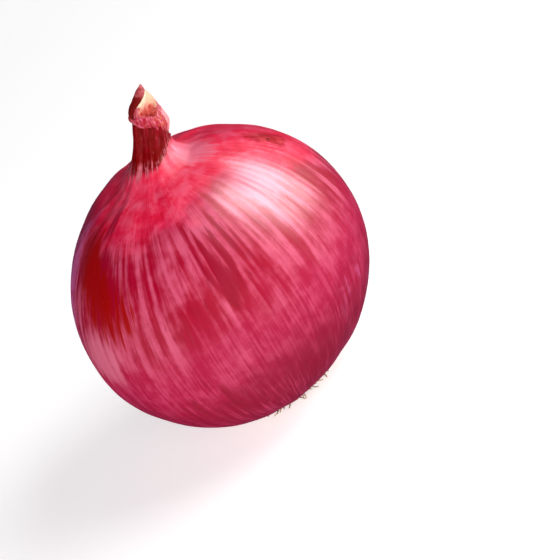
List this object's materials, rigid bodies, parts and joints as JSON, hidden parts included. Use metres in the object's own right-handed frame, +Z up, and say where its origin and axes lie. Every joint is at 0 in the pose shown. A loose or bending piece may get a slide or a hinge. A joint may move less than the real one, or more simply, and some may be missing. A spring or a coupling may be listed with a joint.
{
  "type": "onion",
  "caption": "Whole dry red onion with papery streaked skin, a bent dried neck and a trimmed root plate that it stands on.",
  "frame": {"origin": "centre of the flat underside of the root plate, where the onion stands", "axes": "+Z up from the root plate to the neck, +X the way the neck leans, -Y towards the viewer"},
  "size_m": [0.0794, 0.0806, 0.0941],
  "materials": {
    "dry_red_skin": "glossy dry papery skin with streaks from neck to root"
  },
  "bodies": {
    "root": {"onion": "dry_red_skin"}
  },
  "joints": []
}
